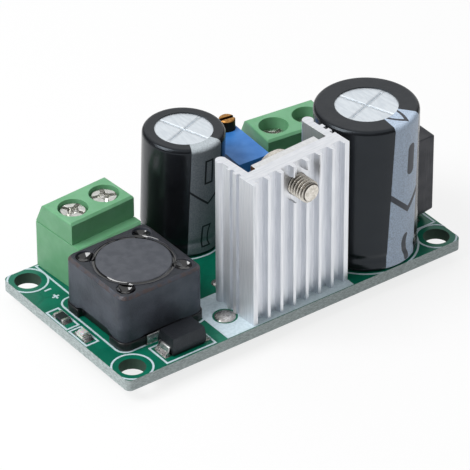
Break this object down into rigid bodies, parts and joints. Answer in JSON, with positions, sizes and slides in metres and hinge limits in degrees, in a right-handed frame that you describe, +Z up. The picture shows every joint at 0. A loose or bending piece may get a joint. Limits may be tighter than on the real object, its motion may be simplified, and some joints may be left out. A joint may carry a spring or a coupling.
{
  "type": "buck converter module",
  "caption": "Small green circuit board with screw terminals, two upright capacitors, a shielded coil, a finned heat sink and a blue trimmer with a brass screw.",
  "frame": {"origin": "midway between the four corner holes, on the underside of the board", "axes": "+X along the long side towards the input end, +Y towards the wire entries, +Z up out of the component side"},
  "size_m": [0.053, 0.0298, 0.0248],
  "materials": {
    "solder_mask": "satin",
    "legend_ink": "matt",
    "solder": "bright",
    "green_nylon": "satin",
    "tinned_steel": "satin",
    "zinc_plated_steel": "bright",
    "black_base": "satin",
    "ferrite": "matt",
    "core_ferrite": "matt",
    "enamelled_copper": "gloss",
    "black_glue": "wet gloss",
    "black_epoxy": "satin",
    "bridge_epoxy": "satin",
    "white_ceramic": "matt",
    "lens_resin": "gloss",
    "extruded_aluminium": "satin",
    "tinned_copper": "satin",
    "nickel_plated_steel": "bright",
    "can_aluminium": "satin",
    "black_sleeve": "gloss",
    "black_rubber": "matt",
    "blue_housing": "satin",
    "trimmer_brass": "satin"
  },
  "bodies": {
    "board": {"circuit_board": "solder_mask", "legend_print": "legend_ink", "board_pads": "solder", "solder_joints": "solder", "output_terminal_housing": "green_nylon", "output_terminal_frames": "tinned_steel", "input_terminal_housing": "green_nylon", "input_terminal_frames": "tinned_steel", "inductor_base": "black_base", "inductor_clips": "tinned_steel", "inductor_core": "core_ferrite", "inductor_winding": "enamelled_copper", "inductor_shield": "ferrite", "inductor_glue": "black_glue", "diode_case": "black_epoxy", "diode_leads": "tinned_steel", "resistor_body": "black_epoxy", "resistor_ends": "solder", "lamp_base": "white_ceramic", "lamp_lens": "lens_resin", "lamp_ends": "solder", "heat_sink": "extruded_aluminium", "regulator_tab": "tinned_copper", "regulator_case": "black_epoxy", "regulator_leads": "tinned_steel", "regulator_screw": "nickel_plated_steel", "output_capacitor_can": "can_aluminium", "output_capacitor_sleeve": "black_sleeve", "output_capacitor_bung": "black_rubber", "output_capacitor_leads": "tinned_steel", "input_capacitor_can": "can_aluminium", "input_capacitor_sleeve": "black_sleeve", "input_capacitor_bung": "black_rubber", "input_capacitor_leads": "tinned_steel", "bridge_case": "bridge_epoxy", "bridge_leads": "tinned_steel", "trimmer_case": "blue_housing", "trimmer_pins": "tinned_steel"},
    "output_plate_left": {"output_clamp_plate_left": "tinned_steel"},
    "output_screw_left": {"output_clamp_screw_left": "zinc_plated_steel"},
    "output_plate_right": {"output_clamp_plate_right": "tinned_steel"},
    "output_screw_right": {"output_clamp_screw_right": "zinc_plated_steel"},
    "input_plate_left": {"input_clamp_plate_left": "tinned_steel"},
    "input_screw_left": {"input_clamp_screw_left": "zinc_plated_steel"},
    "input_plate_right": {"input_clamp_plate_right": "tinned_steel"},
    "input_screw_right": {"input_clamp_screw_right": "zinc_plated_steel"},
    "trimmer_adjuster": {"trimmer_screw": "trimmer_brass"}
  },
  "joints": [
    {"name": "output_left_clamp_slide", "type": "slide", "parent": "board", "child": "output_plate_left", "axis": [0, 0, 1], "range_m": [-0.002, 0]},
    {"name": "output_left_clamp_turn", "type": "hinge", "parent": "output_plate_left", "child": "output_screw_left", "pos_m": [-0.01837, 0.00949, 0.01174], "axis": [0, 0, 1], "range_deg": [-1601, 0]},
    {"name": "output_right_clamp_slide", "type": "slide", "parent": "board", "child": "output_plate_right", "axis": [0, 0, 1], "range_m": [-0.002, 0]},
    {"name": "output_right_clamp_turn", "type": "hinge", "parent": "output_plate_right", "child": "output_screw_right", "pos_m": [-0.0133, 0.00984, 0.01174], "axis": [0, 0, 1], "range_deg": [-1601, 0]},
    {"name": "input_left_clamp_slide", "type": "slide", "parent": "board", "child": "input_plate_left", "axis": [0, 0, 1], "range_m": [-0.0009, 0.0011]},
    {"name": "input_left_clamp_turn", "type": "hinge", "parent": "input_plate_left", "child": "input_screw_left", "pos_m": [0.01369, 0.00974, 0.01174], "axis": [0, 0, 1], "range_deg": [-721, 882]},
    {"name": "input_right_clamp_slide", "type": "slide", "parent": "board", "child": "input_plate_right", "axis": [0, 0, 1], "range_m": [-0.0009, 0.0011]},
    {"name": "input_right_clamp_turn", "type": "hinge", "parent": "input_plate_right", "child": "input_screw_right", "pos_m": [0.01875, 0.00921, 0.01174], "axis": [0, 0, 1], "range_deg": [-721, 882]},
    {"name": "trimmer_turn", "type": "hinge", "parent": "board", "child": "trimmer_adjuster", "pos_m": [0.00839, 0.01281, 0.01164], "axis": [0, 0, 1], "continuous": true}
  ],
  "couplings": [
    {"joint": "output_left_clamp_turn", "follows": "output_left_clamp_slide", "rad_per_m": 13963},
    {"joint": "output_right_clamp_turn", "follows": "output_right_clamp_slide", "rad_per_m": 13963},
    {"joint": "input_left_clamp_turn", "follows": "input_left_clamp_slide", "rad_per_m": 13963},
    {"joint": "input_right_clamp_turn", "follows": "input_right_clamp_slide", "rad_per_m": 13963}
  ]
}
